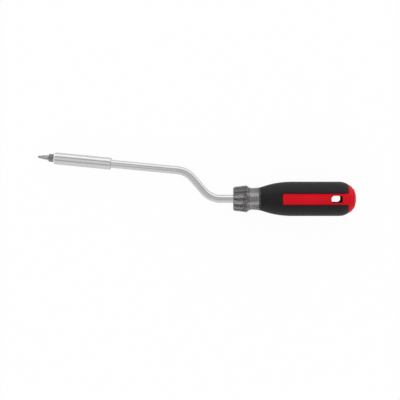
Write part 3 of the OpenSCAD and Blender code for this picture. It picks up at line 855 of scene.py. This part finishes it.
def makeGrip():
    g = grip
    w, half, end = g["window"], g["windowHalf"], g["end"]
    front = core["seam"] + core["rimGap"]  # a little behind the core's end face
    rows = [front + d for d in g["seamSteps"]]
    rows += spread(front + g["seamRoom"], w - g["windowRoom"], g["frontSteps"])
    rows += [w - d for d in g["beforeWindow"]] + [w + d for d in g["pastWindow"]]
    rows += spread(g["full"] + g["fullRoom"], gripTurn - g["turnRoom"], g["fullSteps"])
    rows += spread(gripTurn, end - g["endRoom"], g["turnSteps"]) + [end - d for d in g["endSteps"]]
    halfCols = g["windowCols"] + [half - d for d in g["insideCols"]] + [half + d for d in g["outsideCols"]]
    cols = aroundCols(marked(halfCols + sideCols, "grip"))

    def outerAt(x, col):
        side, y, part = col
        lip = rolled(g["lip"], max(0.0, w - x, abs(y) - half))
        drop = max(lip, rolled(g["edge"], end - x), rolled(g["edge"], x - front))
        xx, yy = panelCorners(x, y)
        return roundPoint(xx, side, yy, gripRadius(xx) - drop)

    def innerAt(x, col):
        side, y, part = col
        xx, yy = panelCorners(x, y)
        grows = eased(xx, core["gripStart"], core["gripStart"] + g["thickOver"])
        thick = g["thickAtSeam"] + (g["thick"] - g["thickAtSeam"]) * grows
        return roundPoint(xx, side, yy, gripRadius(xx) - thick)

    def isOpen(x0, x1, c0, c1):
        return x0 >= w and max(abs(c0[1]), abs(c1[1])) <= half + hair

    mesh = shellMesh("gripShell", rows, cols, outerAt, innerAt, isOpen, False)
    finish = finishOf("softBlackGrip", g)
    finished("softGrip", mesh, handlePlace, [finish], "handle", "soft_grip", g["sharp"])


makeCore()
makeBody()
makeGrip()


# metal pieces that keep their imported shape
bit = dict(reach=15.3, taper=9.2, point=0.9, rootRadius=2.4, tipRadius=1.0, groundDepth=(0.06, 0.18),
           cornerRadius=3.52, cornerFade=0.12, rootAt=6.2, rootHalf=2.2, rootFade=0.8,
           colour=(0.17, 0.166, 0.162), colourLight=(0.26, 0.255, 0.25), clouds=(220, 4, 0.35, 0.7),
           # the root and flute colours are painted highlights; rubbed is wear on the corners
           root=(0.38, 0.375, 0.37), ground=(0.7, 0.7, 0.71), rubbed=(0.4, 0.395, 0.39),
           grain=(1500, 4), dents=(1500, 4, 0.15, 0.00004), rough=(0.16, 0.3), plain={"Metallic": 1.0})
socket = dict(colour=(0.80, 0.80, 0.81), colourLight=(0.92, 0.92, 0.93), clouds=(220, 4, 0.35, 0.7),
              grain=(2200, 4), dents=(2200, 4, 0.2, 0.00005), rough=(0.16, 0.3), plain={"Metallic": 1.0})
wire = dict(colour=(0.26, 0.26, 0.29), colourLight=(0.38, 0.38, 0.40), clouds=(220, 4, 0.35, 0.7),
            grain=(1800, 4), dents=(1800, 4, 0.2, 0.00005), rough=(0.25, 0.4), plain={"Metallic": 1.0})


def bitColour(tree, b):  # dark steel with rubbed corners; painted highlights make it lighter at the root and bright in the flutes
    own = wired(tree, "ShaderNodeMapping", {
        "Vector": objectSpace(tree), "Location": nosePlace.translation, "Rotation": nosePlace.to_euler(),
        "Scale": (mm, mm, mm),
    }, vector_type="TEXTURE")
    x, y, z = wired(tree, "ShaderNodeSeparateXYZ", {0: own.outputs["Vector"]}).outputs
    across = wired(tree, "ShaderNodeCombineXYZ", {"Y": y, "Z": z}).outputs["Vector"]
    out = wired(tree, "ShaderNodeVectorMath", {0: across}, operation="LENGTH").outputs["Value"]
    cone = ranged(tree, x, b["reach"] - b["taper"], b["reach"] - b["point"], b["rootRadius"], b["tipRadius"])
    fromRoot = calc(tree, "ABSOLUTE", calc(tree, "SUBTRACT", x, b["rootAt"]))
    shares = {
        # painted highlight: lighter steel round the root
        "root": ranged(tree, fromRoot, b["rootHalf"] - b["rootFade"], b["rootHalf"], 1, 0),
        # painted highlight: bright steel in the flutes, below the cone
        "ground": ranged(tree, calc(tree, "SUBTRACT", cone, out), *b["groundDepth"], 0, 1),
        "rubbed": ranged(tree, out, b["cornerRadius"], b["cornerRadius"] + b["cornerFade"], 0, 1),
    }
    colour = clouded(tree, b)
    for key, share in shares.items():
        colour = mixedIn(tree, colour, share, b[key])
    return colour


def dress(node, material):
    for slot in frame["nodes"][node].material_slots:
        slot.material = material
    print("dressed", node)


dress("screwdriver_bit", finishOf("darkBitSteel", bit, bitColour))
dress("bit_socket", finishOf("groundSocketSteel", socket))
springFinish = finishOf("drawnSpringSteel", wire)
dress("bit_retaining_ring", springFinish)
dress("sleeve_retaining_ring", springFinish)
